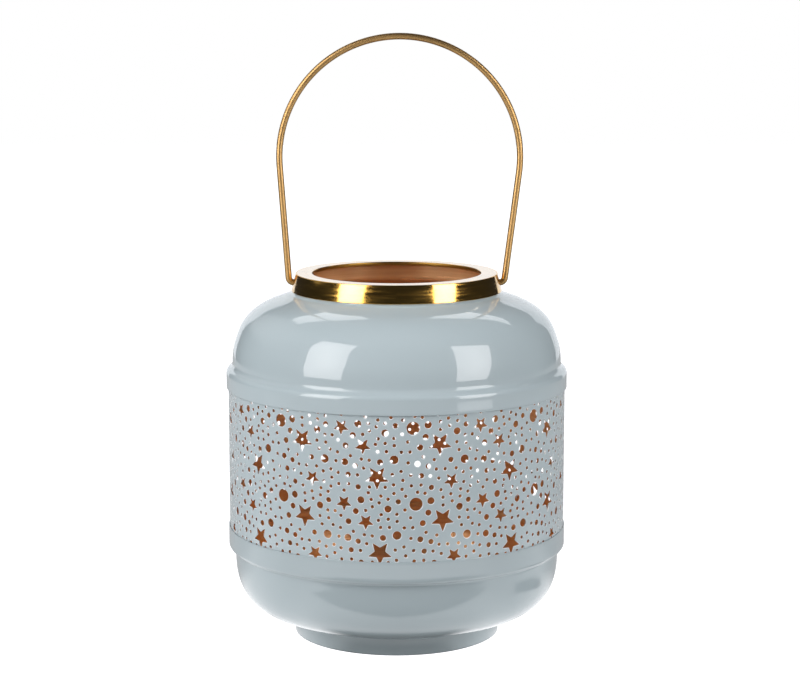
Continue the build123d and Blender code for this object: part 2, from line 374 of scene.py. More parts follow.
def new_mesh(name, vertices, faces, materials):
    """A mesh from vertices in millimetres, its faces and its materials."""
    mesh = bpy.data.meshes.new(name)
    for material in materials:
        mesh.materials.append(material)
    mesh.from_pydata([tuple(c * MM for c in v) for v in vertices], [], faces)
    return mesh


def paint_mesh(mesh, paints):
    """Makes a mesh smooth and gives each of its faces its material slot."""
    mesh.polygons.foreach_set("material_index", paints)
    mesh.polygons.foreach_set("use_smooth", [True] * len(paints))


def new_piece(name, data):
    """An object in the scene that shows a mesh, or the camera."""
    piece = bpy.data.objects.new(name, data)
    bpy.context.scene.collection.objects.link(piece)
    return piece


def finish_mesh(name, vertices, faces, paints, materials):
    """A piece from vertices, faces and the material slot of each face, sharp where it is bent far."""
    mesh = new_mesh(name, vertices, faces, materials)
    paint_mesh(mesh, paints)
    mesh.set_sharp_from_angle(angle=math.radians(sharp_angle))
    mesh.validate()
    return new_piece(name, mesh)


def ring_quads(low, high):
    """The quads between two closed rings of vertices, or of what belongs to those vertices."""
    count = len(low)
    after = [(i + 1) % count for i in range(count)]
    return [(low[i], low[j], high[j], high[i]) for i, j in enumerate(after)]


def spin(name, outline, run_paints, materials):
    """A piece spun round the axis from its outline, closed where it has as many runs as points."""
    vertices, rings = [], []
    for radius, height in outline:
        if radius < 1e-6:
            rings.append([len(vertices)] * spin_steps)
            vertices.append((0, 0, height))
            continue
        rings.append(range(len(vertices), len(vertices) + spin_steps))
        for i in range(spin_steps):
            turn = 2 * math.pi * (i + 0.5) / spin_steps
            vertices.append((radius * math.sin(turn), -radius * math.cos(turn), height))
    faces, paints = [], []
    for k, paint in enumerate(run_paints):
        quads = ring_quads(rings[k], rings[(k + 1) % len(rings)])
        faces += [tuple(dict.fromkeys(quad)) for quad in quads]
        paints += [paint] * len(quads)
    return finish_mesh(name, vertices, faces, paints, materials)


def cut_pivot_holes(piece):
    """Cuts the two holes for the bail's ends through a piece."""
    ring = disc_ring(wire_diameter / 2 + pivot_clearance, 0, 64)
    reaches = (bail_end_reach - pivot_cut_inward, collar_bottom_radius + pivot_cut_outward)
    vertices, faces = [], []
    for side in (-1, 1):
        ends = []
        for reach in reaches:
            ends.append(tuple(range(len(vertices), len(vertices) + len(ring))))
            vertices += [(side * reach, y, pivot_height + z) for y, z in ring]
        near, far = ends
        faces += [quad[::-side] for quad in ring_quads(near, far)]
        faces += [near[::side], far[::-side]]
    cutter = finish_mesh("pivot_cutter", vertices, faces, [0] * len(faces), piece.data.materials[:1])
    change = piece.modifiers.new("pivot_holes", "BOOLEAN")
    change.object = cutter
    change.operation = "DIFFERENCE"
    change.solver = "EXACT"
    apply_modifiers(piece)
    bpy.data.objects.remove(cutter)


def apply_modifiers(piece):
    """Makes a piece's modifiers part of its mesh."""
    graph = bpy.context.evaluated_depsgraph_get()
    mesh = bpy.data.meshes.new_from_object(piece.evaluated_get(graph))
    piece.modifiers.clear()
    piece.data = mesh


def put(piece, body, node):
    """Puts a piece in the place of a CAD node."""
    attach(piece, body)
    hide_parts(node)


class Shader:
    """Helper for one material's nodes."""

    def __init__(self, name):
        self.material = bpy.data.materials.new(name)
        self.material.use_nodes = True
        self.nodes = self.material.node_tree.nodes
        self.links = self.material.node_tree.links
        self.main = self.nodes["Principled BSDF"]
        self.coords = self.add("ShaderNodeTexCoord")
        self.place = self.coords.outputs["Object"]

    def add(self, kind, *values, **settings):
        """A node with these settings, its inputs given values or linked in their order."""
        node = self.nodes.new(kind)
        for key, value in settings.items():
            setattr(node, key, value)
        for socket, value in zip(node.inputs, values):
            self.give(socket, value)
        return node

    def give(self, socket, value):
        """Sets an input to a value, or links it to another node's output."""
        if isinstance(value, bpy.types.NodeSocket):
            self.links.new(value, socket)
        else:
            socket.default_value = value

    def feed(self, node=None, **sockets):
        """Gives a node's inputs, or else the main node's, by their names."""
        for key, value in sockets.items():
            self.give((node or self.main).inputs[key.replace("_", " ")], value)

    def math(self, operation, *values):
        return self.add("ShaderNodeMath", *values, operation=operation).outputs[0]

    def round_place(self, around, across, up):
        """Coordinates that run round the axis: features stretched round it, thin across and up."""
        x, y, z = self.add("ShaderNodeSeparateXYZ", self.place).outputs
        squares = [self.math("MULTIPLY", side, side) for side in (x, y)]
        reach = self.math("SQRT", self.math("ADD", *squares))
        turn = self.math("ARCTAN2", x, y)
        runs = ((turn, around), (reach, across), (z, up))
        scaled = [self.math("MULTIPLY", value, scale) for value, scale in runs]
        return self.add("ShaderNodeCombineXYZ", *scaled).outputs[0]

    def wire_place(self, along, across):
        """Coordinates that run along a wire: features stretched along it, thin round it."""
        values = (self.coords.outputs["UV"], (along, across, 1.0))
        return self.add("ShaderNodeVectorMath", *values, operation="MULTIPLY").outputs["Vector"]

    def noise(self, scale, detail=2.0, roughness=0.5, place=None):
        node = self.add("ShaderNodeTexNoise")
        place = place or self.place
        self.feed(node, Scale=scale, Detail=detail, Roughness=roughness, Vector=place)
        return node.outputs["Fac"]

    def ramp(self, value, *ends):
        """A blend between two colours, each reached at its own value."""
        node = self.add("ShaderNodeValToRGB", value)
        for element, (at, colour) in zip(node.color_ramp.elements, ends):
            element.position = at
            element.color = (*colour, 1)
        return node.outputs["Color"]

    def spread(self, value, low, high, from_low=0.3, from_high=0.7):
        """Stretches a value's run over the run from low to high."""
        node = self.add("ShaderNodeMapRange")
        self.feed(node, From_Min=from_low, From_Max=from_high, To_Min=low, To_Max=high, Value=value)
        return node.outputs["Result"]

    def bump(self, height, depth, **under):
        """Bumps from a height, over another normal where one is given as Normal."""
        node = self.add("ShaderNodeBump")
        self.feed(node, Strength=1.0, Distance=depth, Height=height, **under)
        return node.outputs["Normal"]


def shade(colour, share):
    """A colour made darker or lighter, no brighter than white."""
    return tuple(min(1, c * share) for c in colour)


def enamel(name, colour, peel_depth):
    """Gloss enamel: a faintly clouded colour under a clear gloss with a faint orange peel."""
    shader = Shader(name)
    cloud = shader.noise(9.0, 1.0)
    ends = (0.0, shade(colour, 0.98)), (1.0, shade(colour, 1.02))
    shader.feed(Base_Color=shader.ramp(cloud, *ends))
    shader.feed(Roughness=shader.spread(shader.noise(60.0, 2.0), 0.3, 0.4))
    peel = shader.noise(230.0, 2.0, 0.4)
    wave = shader.noise(34.0, 1.0, 0.3)
    low = shader.bump(wave, peel_depth * 2)
    shader.feed(Coat_Normal=shader.bump(peel, peel_depth, Normal=low), Normal=low)
    shader.feed(Specular_IOR_Level=0.1, Coat_Weight=1.0, Coat_Roughness=0.012, Coat_IOR=1.45)
    return shader.material


def copper_paint(name, colour, ring_scale):
    """Copper-coloured metallic paint inside the shells, over marks left by spinning."""
    shader = Shader(name)
    rings = shader.noise(1.0, 3.0, 0.6, shader.round_place(0.6, ring_scale, ring_scale))
    flakes = shader.noise(900.0, 1.0)
    ends = (0.3, shade(colour, 0.8)), (0.7, shade(colour, 1.06))
    shader.feed(Base_Color=shader.ramp(rings, *ends))
    shader.feed(Roughness=shader.spread(rings, 0.18, 0.28))
    shader.feed(Normal=shader.bump(flakes, 0.00003, Normal=shader.bump(rings, 0.00012)))
    shader.feed(Metallic=0.5)
    return shader.material


def brass(name, colour, roughness, depth, coat, along=None):
    """Brass with fine marks of brushing, round the axis or along a wire."""
    shader = Shader(name)
    place = shader.wire_place(*along) if along else shader.round_place(2.5, 900.0, 900.0)
    marks = shader.noise(1.0, 0.0 if along else 3.0, 0.6, place)
    cloud = shader.noise(38.0, 2.0)
    ends = (0.35, shade(colour, 0.9)), (0.65, shade(colour, 1.06))
    shader.feed(Base_Color=shader.ramp(cloud, *ends))
    shader.feed(Roughness=shader.spread(marks, *roughness, 0.35, 0.7))
    shader.feed(Normal=shader.bump(marks, depth))
    shader.feed(Metallic=1.0, Coat_Weight=coat, Coat_Roughness=0.05)
    return shader.material


def stage_material(name, colour, strength, hot=None):
    """A plain glowing surface for the studio. With hot, its middle is that many times as bright."""
    shader = Shader(name)
    glow = shader.add("ShaderNodeEmission", (*colour, 1), strength)
    shader.feed(shader.nodes["Material Output"], Surface=glow.outputs[0])
    shader.nodes.remove(shader.main)
    if hot:
        values = (shader.coords.outputs["UV"], (0.5, 0.5, 0.0))
        from_middle = shader.add("ShaderNodeVectorMath", *values, operation="DISTANCE")
        fade = shader.add("ShaderNodeMapRange", interpolation_type="SMOOTHSTEP")
        shader.feed(fade, From_Min=0.0, From_Max=0.55, To_Min=strength * hot, To_Max=strength)
        shader.feed(fade, Value=from_middle.outputs["Value"])
        shader.feed(glow, Strength=fade.outputs["Result"])
    return shader.material


def away(azimuth, elevation):
    """A direction in degrees. Azimuth 0 is the front and 90 the right."""
    a, e = math.radians(azimuth), math.radians(elevation)
    return Vector((math.sin(a) * math.cos(e), -math.cos(a) * math.cos(e), math.sin(e)))


def card(name, corners, material, seen=False):
    """A card in the studio, through corners in millimetres: pairs of a lower and an upper one."""
    spans = len(corners) // 2 - 1
    faces = [(2 * i, 2 * i + 2, 2 * i + 3, 2 * i + 1) for i in range(spans)]
    mesh = new_mesh(name, corners, faces, [material])
    layer = mesh.uv_layers.new()
    for face in mesh.polygons:
        for loop, (right, up) in zip(face.loop_indices, ((0, 0), (1, 0), (1, 1), (0, 1))):
            layer.data[loop].uv = ((face.index + right) / spans, up)
    return stage_piece(name, mesh, seen)


def stage_piece(name, mesh, seen=False):
    """A piece of the studio, which the camera sees only where seen is set."""
    piece = new_piece(name, mesh)
    piece.visible_camera = seen
    return piece


def front_card(name, side, corners, material):
    """A card in front, on the left with side -1 and on the right with 1."""
    base = Vector((side * front_base[0], front_base[1], front_base[2]))
    places = [base + away(azimuth, elevation) * distance for azimuth, elevation, distance in corners]
    return card(name, places, material)


def sky_card(name, base, distance, columns, material):
    """A card that covers a patch of directions seen from base: azimuth, lowest and highest."""
    corners = []
    for azimuth, low, high in columns:
        for elevation in (low, high):
            corners.append(Vector(base) + away(azimuth, elevation) * distance)
    return card(name, corners, material)


def ease(value, low, high):
    """A smooth step from 0 at low to 1 at high."""
    share = max(0.0, min(1.0, (value - low) / (high - low)))
    return share * share * (3 - 2 * share)


def front_turn(x, y):
    """How far a place is turned from the front, in degrees, to either side."""
    return abs(math.degrees(math.atan2(x, -y)))


def table_light(x, y):
    """How bright the table is as it lights the enamel: darker behind, near by and in two patches."""
    reach = math.hypot(x, y)
    behind = ease(y, 20, 100)
    light = table_bright - table_far_drop * ease(reach, 240, 500)
    light *= 1 - table_right_shade * ease(x, 40, 120)
    light *= 1 - table_back_shade * behind + table_back_lift * ease(reach, 300, 700) * behind
    light *= 1 - table_foot_shade * (1 - ease(reach, 50, 64))
    near_front = (1 - ease(reach, 80, 120)) * (1 - ease(front_turn(x, y), 25, 60))
    light *= 1 - table_near_shade * near_front
    across = ease(x, -160, -142) * (1 - ease(x, 172, 205))
    lean = -0.06 * abs(x)
    front_patch = across * (1 - ease(y, lean - 150, lean - 116)) * (1 - ease(reach, 420, 900))
    light *= 1 - front_patch_shade * front_patch
    beside = ease(x, 138, 156) * (1 - ease(x + 0.25 * y, 190, 215))
    slant = 0.2 * (x - 150)
    side_patch = beside * ease(y, -75, -50) * (1 - ease(y, slant + 10, slant + 60))
    return light * (1 - side_patch_shade * side_patch)


def table_mirror(x, y):
    """How bright the table is in the gloss: lit near the lantern, but for two dark patches."""
    reach = math.hypot(x, y)
    turn = front_turn(x, y)
    light = mirror_bright - mirror_turn_drop * ease(turn, 42, 66)
    light *= 1 - mirror_back_shade * ease(y, 20, 100)
    light *= 1 - mirror_near_shade * (1 - ease(turn, 30, 50)) * (1 - ease(reach, 110, 120))
    across = ease(x, -158, -146) * (1 - ease(x, 172, 196))
    lean = -0.12 * abs(x)
    light *= 1 - across * (1 - ease(y, lean - 123, lean - 111)) * (1 - ease(reach, 285, 305))
    beside = ease(x, 140, 152) * (1 - ease(x + 0.25 * y, 194, 210))
    slant = 0.45 * (x - 150)
    light *= 1 - beside * ease(y, -66, -52) * (1 - ease(y, slant, slant + 20))
    by_foot = mirror_foot_dim + mirror_foot_bright * ease(turn, 24, 44) * (1 - ease(turn, 60, 110))
    light += (by_foot - light) * (1 - ease(reach, 76, 86))
    light += (table_light(x, y) - light) * ease(reach, 335, 430)
    streak = ease(turn, 37.5, 39) * (1 - ease(turn, 61.5, 63)) if x > 0 else 0
    return light + mirror_streak * streak * ease(reach, 840, 865) * (1 - ease(reach, 905, 930))


def table_card(name, colour, brightness):
    """The table's light: rings of faces whose corners each hold how bright the table is there."""
    spots, faces = [], []
    for reach in table_reaches:
        for i in range(table_turns):
            spots.append(away(360 * i / table_turns, 0) * reach + Vector((0, 0, table_card_height)))
    for k in range(len(table_reaches) - 1):
        for i in range(table_turns):
            j = (i + 1) % table_turns
            low, high = k * table_turns, (k + 1) * table_turns
            faces.append((low + i, high + i, high + j, low + j))
    material = stage_material(name, colour, 1.0)
    material.cycles.emission_sampling = "NONE"
    mesh = new_mesh(name, spots, faces, [material])
    layer = mesh.color_attributes.new("light", "FLOAT_COLOR", "POINT")
    for spot, datum in zip(spots, layer.data):
        datum.color = (*(c * brightness(spot.x, spot.y) for c in colour), 1)
    nodes, links = material.node_tree.nodes, material.node_tree.links
    light = nodes.new("ShaderNodeVertexColor")
    light.layer_name = "light"
    links.new(light.outputs["Color"], nodes["Emission"].inputs["Color"])
    return stage_piece(name, mesh)


def foot_mesh(*materials):
    """The ring foot, with the enamel that fills the corner under the bowl."""
    fillet_centre = (foot_radius + foot_fillet_radius, foot_height - foot_fillet_radius + foot_fillet_rise)
    top = foot_height - foot_seat_gap
    inner = foot_radius - foot_wall
    outline = [(inner + foot_edge_radius, 0)]
    outline += arc_points((foot_radius - foot_edge_radius, foot_edge_radius), foot_edge_radius, -90, 0, 5)
    outline += line_points((foot_radius, foot_wall_start), (foot_radius, fillet_centre[1]), 12)
    outline += arc_points(fillet_centre, foot_fillet_radius, 180, 96, 10)
    outline += [(foot_radius - foot_top_inset, top), (foot_radius - foot_flange_width, top)]
    outline += [(foot_radius - foot_flange_width, top - foot_wall), (inner - foot_bend, top - foot_wall)]
    outline += [(inner, top - foot_wall - foot_bend), (inner, foot_edge_radius)]
    return spin("foot_ring_enamel", outline, [0] * len(outline), materials)


def bowl_mesh(*materials):
    """The bowl: flat floor, round wall, step and skirt."""
    outside = [(0, foot_height)]
    outside += line_points((bowl_floor_start, foot_height), (bowl_floor_radius, foot_height), 12)
    spans = 72
    for i in range(spans):
        turn = math.radians(90 * (i / spans) ** bowl_spacing_power)
        out_share = math.sin(turn) ** (2 / bowl_curve_power)
        down_share = math.cos(turn) ** (2 / bowl_curve_power)
        radius = bowl_floor_radius + (bowl_wall_radius - bowl_floor_radius) * out_share
        outside.append((radius, bowl_step_bottom - (bowl_step_bottom - foot_height) * down_share))
    outside += step_points((bowl_wall_radius, bowl_step_bottom), (bowl_skirt_radius, bowl_step_top), 8)[:-1]
    edge = (bowl_skirt_radius, bowl_skirt_top - shell_wall / 2)
    outside += line_points((bowl_skirt_radius, bowl_step_top), edge, 8) + [edge]
    outline, paints = sheet_outline(outside, shell_wall, first_edge=False)
    outline[-1] = (0, outline[-1][1])
    return spin("base_bowl_enamel", outline, paints, materials)


def dome_mesh(*materials):
    """The dome: skirt, step, round shoulder and a neck turned up inside the collar."""
    slope = math.radians(dome_slope)
    slope_way = (-math.cos(slope), math.sin(slope))
    last = dome_wall_radius * shoulder_shares[-1][0]
    rise = neck_corner[1] - (last - neck_corner[0]) * math.tan(slope) - dome_step_top
    shoulder = [(dome_wall_radius * r, dome_step_top + rise * z) for r, z in shoulder_shares]
    lean = (collar_bottom_radius - collar_top_radius) / (body_height - collar_bottom)
    neck_end = (neck_corner[0] - lean * (neck_top - neck_corner[1]), neck_top - shell_wall / 2)
    edge = dome_skirt_bottom + shell_wall / 2
    outside = line_points((body_radius, edge), (body_radius, dome_step_bottom), 6)
    outside += step_points((body_radius, dome_step_bottom), (dome_wall_radius, dome_step_top), 10)[:-1]
    outside += smooth_points([(dome_wall_radius, dome_step_top), *shoulder], (0, 1), slope_way, 14)
    outside += rounded_corner(shoulder[-1], neck_corner, neck_end, neck_fillet_radius, 12)
    outside += line_points(outside[-1], neck_end, 6)[1:] + [neck_end]
    outline, paints = sheet_outline(outside, shell_wall)
    dome = spin("dome_shell_enamel", outline, paints, materials)
    cut_pivot_holes(dome)
    return dome


def collar_mesh(*materials):
    """The collar: leaning wall, flat top and a lip turned down round the opening."""
    lean = (collar_bottom_radius - collar_top_radius) / (body_height - collar_bottom)
    bottom = (collar_bottom_radius, collar_bottom)
    top = (collar_top_radius, body_height)
    mouth = (opening_radius, body_height)
    lip = (opening_radius, body_height - opening_lip_depth)
    under = body_height - collar_wall
    outline = [(bottom[0] - collar_wall, bottom[1])]
    outline += rounded_corner(outline[0], bottom, top, collar_cut_radius, 3)
    outline += rounded_corner(bottom, top, mouth, collar_edge_radius, 6)
    wall_runs = len(outline)
    flat = (collar_top_radius - collar_flat_inset, opening_radius + collar_flat_inset)
    outline += line_points((flat[0], body_height), (flat[1], body_height), 6)
    outline += rounded_corner(top, mouth, lip, collar_edge_radius, 6)
    flat_runs = len(outline) - wall_runs - 3
    lip_inside = (lip[0] + collar_wall, lip[1])
    outline += rounded_corner(mouth, lip, lip_inside, collar_cut_radius, 3)
    outline += [lip_inside, (lip_inside[0], under)]
    outline.append((collar_bottom_radius - lean * (under - collar_bottom) - collar_wall, under))
    lip_runs = len(outline) - wall_runs - flat_runs
    # The lip takes the third material, the brass made darker as painted shade inside the opening
    paints = [0] * wall_runs + [1] * flat_runs + [2] * lip_runs
    collar = spin("rim_collar_brass", outline, paints, materials)
    cut_pivot_holes(collar)
    return collar


def leg_top(corner, side):
    """Where the leg that rises from its corner runs into the bail's round loop."""
    across = bail_sway - corner[0]
    rise = bail_loop_height - corner[1]
    leg = math.sqrt(across**2 + rise**2 - bail_loop_radius**2)
    turn = math.atan2(rise, across) + side * math.atan(bail_loop_radius / leg)
    return (corner[0] + leg * math.cos(turn), corner[1] + leg * math.sin(turn))


def bail_mesh(*materials):
    """The bail: one round wire along its path, with chamfered ends."""
    corners = [(-bail_corner_reach, pivot_height), (bail_corner_reach, pivot_height)]
    ends = [(-bail_end_reach, pivot_height), (bail_end_reach, pivot_height)]
    tops = [leg_top(corners[0], 1), leg_top(corners[1], -1)]
    straight_end = bail_corner_reach - bail_bend_radius * bail_bend_share
    path = line_points(ends[0], (-straight_end, pivot_height), 4)
    path += rounded_corner(ends[0], corners[0], tops[0], bail_bend_radius, 14)
    path += line_points(path[-1], tops[0], 24)[1:]
    turns = [math.degrees(math.atan2(t[1] - bail_loop_height, t[0] - bail_sway)) for t in tops]
    path += arc_points((bail_sway, bail_loop_height), bail_loop_radius, turns[0] % 360, turns[1], 160)
    bend = rounded_corner(tops[1], corners[1], ends[1], bail_bend_radius, 14)
    path += line_points(tops[1], bend[0], 24)[1:] + bend
    path += line_points((straight_end, pivot_height), ends[1], 4) + [ends[1]]
    places = np.array(path, float)
    ways = run_ways(places)
    sides = 32
    radii = [wire_diameter / 2] * len(path)
    radii[0] = radii[-1] = wire_diameter / 2 - wire_end_chamfer
    places[1] = places[0] + ways[0] * wire_end_chamfer
    places[-2] = places[-1] - ways[-1] * wire_end_chamfer
    vertices, faces = [], []
    for (x, z), (way_x, way_z), radius in zip(places, ways, radii):
        ring = disc_ring(radius, 0, sides)
        vertices += [(x - way_z * out, y, z + way_x * out) for out, y in ring]
    rings = [range(k * sides, (k + 1) * sides) for k in range(len(path))]
    for low, high in zip(rings, rings[1:]):
        faces += [(b, a, d, c) for a, b, c, d in ring_quads(low, high)]
    faces += [tuple(rings[0]), tuple(reversed(rings[-1]))]
    wire = finish_mesh("bail_handle_wire", vertices, faces, [0] * len(faces), materials)
    runs = np.concatenate([[0], np.cumsum(np.linalg.norm(np.diff(places, axis=0), axis=1))])
    layer = wire.data.uv_layers.new()
    for face in wire.data.polygons:
        for loop in face.loop_indices:
            k, i = divmod(wire.data.loops[loop].vertex_index, sides)
            layer.data[loop].uv = (runs[k], abs(i - sides / 2))
    return wire


def disc_ring(radius, grow, steps):
    """Points round a circle, grown outwards."""
    reach = radius + grow
    turns = [2 * math.pi * i / steps for i in range(steps)]
    return [(reach * math.cos(turn), reach * math.sin(turn)) for turn in turns]


def star_ring(radius, grow):
    """Points round a star that stands on one point, grown outwards, tips and notches rounded."""
    share = star_notch_share
    half_ray = math.radians(180 / star_points)
    tip_half = math.atan(share * math.sin(half_ray) / (1 - share * math.cos(half_ray)))
    notch_half = math.pi / 2 - tip_half - half_ray
    tip_centre = radius - star_tip_radius / math.sin(tip_half)
    notch_centre = radius * share + star_notch_radius / math.cos(notch_half)
    points = []
    for i in range(star_points):
        tip = math.radians(360 / star_points * i - 90)
        for k in range(5):
            turn = tip + (math.pi / 2 - tip_half) * (k - 2) / 2
            reach = star_tip_radius + grow
            x = tip_centre * math.cos(tip) + reach * math.cos(turn)
            points.append((x, tip_centre * math.sin(tip) + reach * math.sin(turn)))
        notch = tip + half_ray
        for k in range(3):
            turn = notch + math.pi + notch_half * (1 - k)
            reach = star_notch_radius - grow
            x = notch_centre * math.cos(notch) + reach * math.cos(turn)
            points.append((x, notch_centre * math.sin(notch) + reach * math.sin(turn)))
    return points


def place_along(copy, right):
    """How far along the band from its front a place in one copy of the repeat lies."""
    front_copy = max(copy, -1)
    if copy == front_copy:
        return repeat_start + repeat_length * copy + right
    start = repeat_start - repeat_length
    return start + (repeat_length * (copy - front_copy) + right) * back_repeat_stretch


def punch_places():
    """Every punch that shows: its kind, radius and middle on the unrolled band."""
    places = []
    half_round = math.pi * band_radius
    seam_along = band_radius * math.radians(seam_turn)
    copies = math.ceil(2 * half_round / repeat_length)
    rows = math.ceil((dome_skirt_bottom - bowl_skirt_top) / row_height)
    for is_star, table in ((True, stars), (False, discs)):
        for radius, spots in table.items():
            seam_half = seam_lap / 2 + seam_groove + seam_margin + radius
            edge = radius + edge_margin
            for row in range(-1, rows):
                for copy in range(-copies, copies):
                    for right, up in spots:
                        along = place_along(copy, right) + row_shift * row
                        height = bowl_skirt_top + row_rise + up - row_height * row
                        if copy < -1:
                            height -= back_drop + back_lean * (along + half_round)
                        shows = bowl_skirt_top - radius < height < dome_skirt_bottom + radius
                        fits = band_bottom + edge < height < band_top - edge
                        clear = seam_half < seam_along - along < 2 * half_round - seam_half
                        if shows and fits and clear and stands_free(places, radius, along, height):
                            places.append((is_star, radius, along, height))
    return places


def stands_free(places, radius, along, height):
    """Whether a punch keeps off the other discs and dots that are placed already."""
    for is_star, other, x, y in places:
        if not is_star and math.hypot(x - along, y - height) < radius + other + 2 * roll_width:
            return False
    return True


def band_mesh(*materials):
    """The punched band: a rolled sheet, every hole with a rolled-over edge, lapped at one side."""
    right = band_radius * math.radians(seam_turn) - seam_lap / 2 - seam_groove
    left = right + seam_groove - 2 * math.pi * band_radius
    punches = punch_places()
    flat, borders, owners, holes = [], [], [], []
    for index, (is_star, radius, along, height) in enumerate(punches):
        steps = next(count for limit, count in disc_steps.items() if radius < limit)
        rings = []
        for grow in (roll_width, roll_width * roll_middle_share, 0.0):
            shape = star_ring(radius, grow) if is_star else disc_ring(radius, grow, steps)
            rings.append([(along + x, height + y) for x, y in shape])
        base = len(flat)
        count = len(rings[0])
        flat += rings[0]
        owners += [index] * count
        borders += [(base + i, base + (i + 1) % count) for i in range(count)]
        holes.append((base, count, rings))
    rim_base = len(flat)
    across = round((right - left) / border_run_along)
    upward = round((band_top - band_bottom) / border_run_up)
    rim = line_points((left, band_bottom), (right, band_bottom), across)
    rim += line_points((right, band_bottom), (right, band_top), upward)
    rim += line_points((right, band_top), (left, band_top), across)
    rim += line_points((left, band_top), (left, band_bottom), upward)
    flat += rim
    borders += [(rim_base + i, rim_base + (i + 1) % len(rim)) for i in range(len(rim))]
    centres = np.array([p[2:] for p in punches])
    reaches = np.array([p[1] for p in punches]) + roll_width + band_grid * grid_margin_share
    columns = int((right - left) / band_grid)
    lines = int((band_top - band_bottom) / band_grid)
    for i in range(1, columns):
        along = left + (right - left) * i / columns
        for k in range(1, lines):
            spot = np.array((along, band_bottom + (band_top - band_bottom) * k / lines))
            if (np.linalg.norm(centres - spot, axis=1) > reaches).all():
                flat.append(tuple(spot))
    owners += [-1] * (len(flat) - len(owners))
    out_vertices, _, out_faces, *_ = geometry.delaunay_2d_cdt(
        [Vector(p) for p in flat], borders, [], 0, 1e-7, False
    )
    assert len(out_vertices) == len(flat), "punches overlap"
    triangles = []
    for face in out_faces:
        owner = owners[face[0]]
        if owner >= 0 and all(owners[v] == owner for v in face):
            is_star, radius, along, height = punches[owner]
            if not is_star:
                continue
            x = sum(flat[v][0] for v in face) / 3 - along
            y = sum(flat[v][1] for v in face) / 3 - height
            if in_polygon(x, y, star_ring(radius, roll_width)):
                continue
        triangles.append(face)
    return wrap_band(flat, triangles, holes, rim_base, len(rim), materials)


def in_polygon(x, y, corners):
    """Whether a point lies inside a closed outline."""
    inside = False
    for (x0, y0), (x1, y1) in zip(corners, corners[1:] + corners[:1]):
        if (y0 > y) != (y1 > y) and x < x0 + (y - y0) * (x1 - x0) / (y1 - y0):
            inside = not inside
    return inside


def wrap_band(flat, triangles, holes, rim_base, rim_count, materials):
    """Bends the unrolled sheet round the axis, with its inside, hole walls and lap."""
    spots, faces, paints, shades = [], [], [], []

    def vertex(along, height, depth):
        turn = along / band_radius
        radius = band_radius - depth
        spots.append((radius * math.sin(turn), -radius * math.cos(turn), height))
        return len(spots) - 1

    def outward(along):
        turn = along / band_radius
        return Vector((math.sin(turn), -math.cos(turn), 0))

    def face(corners, ways, paint):
        faces.append(corners)
        shades.extend(ways)
        paints.append(paint)

    outer = [vertex(x, z, 0) for x, z in flat]
    inner = [vertex(x, z, band_wall) for x, z in flat]
    out_ways = [outward(x) for x, _ in flat]
    for a, b, c in triangles:
        face((outer[a], outer[b], outer[c]), (out_ways[a], out_ways[b], out_ways[c]), 0)
        face((inner[c], inner[b], inner[a]), (-out_ways[c], -out_ways[b], -out_ways[a]), 1)
    middle_depth = roll_depth * roll_middle_share
    levels = [(1, middle_depth, roll_middle_tilt), (2, roll_depth, 1.0), (2, band_wall, 1.0)]
    for base, count, rings in holes:
        ring_ids = [outer[base : base + count]]
        ring_ways = [out_ways[base : base + count]]
        toward = []
        for i in range(count):
            before, after = rings[2][i - 1], rings[2][(i + 1) % count]
            run = Vector((after[0] - before[0], after[1] - before[1])).normalized()
            along_way = Vector((-out_ways[base + i].y, out_ways[base + i].x, 0))
            toward.append((along_way * -run.y + Vector((0, 0, run.x))).normalized())
        for ring, depth, tilt in levels:
            ring_ids.append([vertex(x, z, depth) for x, z in rings[ring]])
            ways = [out_ways[base + i] * (1 - tilt) + toward[i] * tilt for i in range(count)]
            ring_ways.append([w.normalized() for w in ways])
        # The hole walls take the third material, the lighter blue of painted highlights on the holes' edges
        for k in range(3):
            quads = ring_quads(ring_ids[k], ring_ids[k + 1])
            for corners, ways in zip(quads, ring_quads(ring_ways[k], ring_ways[k + 1])):
                face(corners, ways, 2)
        inward = [-way for way in ring_ways[0]]
        quads = ring_quads(ring_ids[3], inner[base : base + count])
        for corners, ways in zip(quads, ring_quads(inward, inward)):
            face(corners, ways, 1)
    for i in range(rim_count):
        j = (i + 1) % rim_count
        a, b = rim_base + i, rim_base + j
        run = Vector((flat[b][0] - flat[a][0], flat[b][1] - flat[a][1])).normalized()
        along_way = Vector((-out_ways[a].y, out_ways[a].x, 0))
        way = (along_way * run.y - Vector((0, 0, run.x))).normalized()
        face((outer[a], inner[a], inner[b], outer[b]), (way,) * 4, 0)
    add_lap(vertex, outward, face)
    mesh = new_mesh("punched_band_sheet", spots, faces, materials)
    paint_mesh(mesh, paints)
    mesh.normals_split_custom_set([tuple(w) for w in shades])
    return new_piece("punched_band_sheet", mesh)


def add_lap(vertex, outward, face):
    """The end of the sheet that runs on behind the other one at the seam."""
    middle = band_radius * math.radians(seam_turn)
    start = middle - seam_lap / 2 - 2 * seam_groove
    end = middle + seam_lap / 2
    steps = 8
    outer, inner = band_wall, 2 * band_wall
    corners = [(band_bottom, outer), (band_top, outer), (band_top, inner), (band_bottom, inner)]
    columns = []
    for i in range(steps + 1):
        along = start + (end - start) * i / steps
        columns.append([vertex(along, height, depth) for height, depth in corners])
    up = Vector((0, 0, 1))
    for i in range(steps):
        along = start + (end - start) * (i + 0.5) / steps
        ways = (outward(along), up, -outward(along), -up)
        for k in range(4):
            n = (k + 1) % 4
            side = (columns[i][k], columns[i + 1][k], columns[i + 1][n], columns[i][n])
            face(side, (ways[k],) * 4, 0 if k == 0 else 1)
    end_way = outward(start).cross(up)
    face(tuple(columns[0]), (end_way,) * 4, 1)
    face(tuple(reversed(columns[-1])), (-end_way,) * 4, 1)


